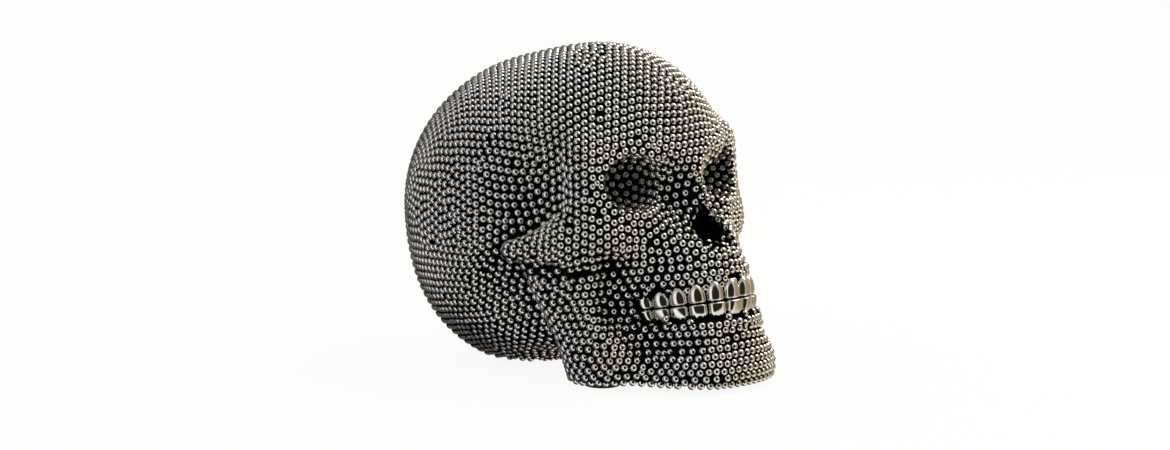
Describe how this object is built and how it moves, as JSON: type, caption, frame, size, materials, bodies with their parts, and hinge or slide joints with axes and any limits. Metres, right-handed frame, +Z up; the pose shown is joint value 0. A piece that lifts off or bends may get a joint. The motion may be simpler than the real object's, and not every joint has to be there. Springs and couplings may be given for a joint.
{
  "type": "halloween skull decoration",
  "caption": "Free-standing decorative skull with a closed bite, covered in small polished ball studs of dark silver, with separate smooth silver teeth and felt pads to rest on.",
  "frame": {"origin": "centre of the overall box on the resting plane, under the middle of the skull", "axes": "+Z up, the face looks along -Y, +X is the skull's own left"},
  "size_m": [0.124, 0.1686, 0.1328],
  "materials": {
    "studded_resin": "antique nickel plating on cast resin, bright ball studs over a near black patina",
    "polished_teeth": "mirror polished silver plating",
    "peg_resin": "bare cast resin, hidden in the seam",
    "felt": "black adhesive felt"
  },
  "bodies": {
    "root": {"cranium_shell": "studded_resin", "lower_jaw": "studded_resin", "tooth_upper_right_1": "polished_teeth", "tooth_upper_right_2": "polished_teeth", "tooth_upper_right_3": "polished_teeth", "tooth_upper_right_4": "polished_teeth", "tooth_upper_right_5": "polished_teeth", "tooth_upper_right_6": "polished_teeth", "tooth_upper_left_1": "polished_teeth", "tooth_upper_left_2": "polished_teeth", "tooth_upper_left_3": "polished_teeth", "tooth_upper_left_4": "polished_teeth", "tooth_upper_left_5": "polished_teeth", "tooth_upper_left_6": "polished_teeth", "tooth_lower_right_1": "polished_teeth", "tooth_lower_right_2": "polished_teeth", "tooth_lower_right_3": "polished_teeth", "tooth_lower_right_4": "polished_teeth", "tooth_lower_right_5": "polished_teeth", "tooth_lower_right_6": "polished_teeth", "tooth_lower_left_1": "polished_teeth", "tooth_lower_left_2": "polished_teeth", "tooth_lower_left_3": "polished_teeth", "tooth_lower_left_4": "polished_teeth", "tooth_lower_left_5": "polished_teeth", "tooth_lower_left_6": "polished_teeth", "jaw_peg_right": "peg_resin", "jaw_peg_left": "peg_resin", "pad_chin": "felt", "pad_jaw_right": "felt", "pad_jaw_left": "felt", "pad_back": "felt"}
  },
  "joints": []
}
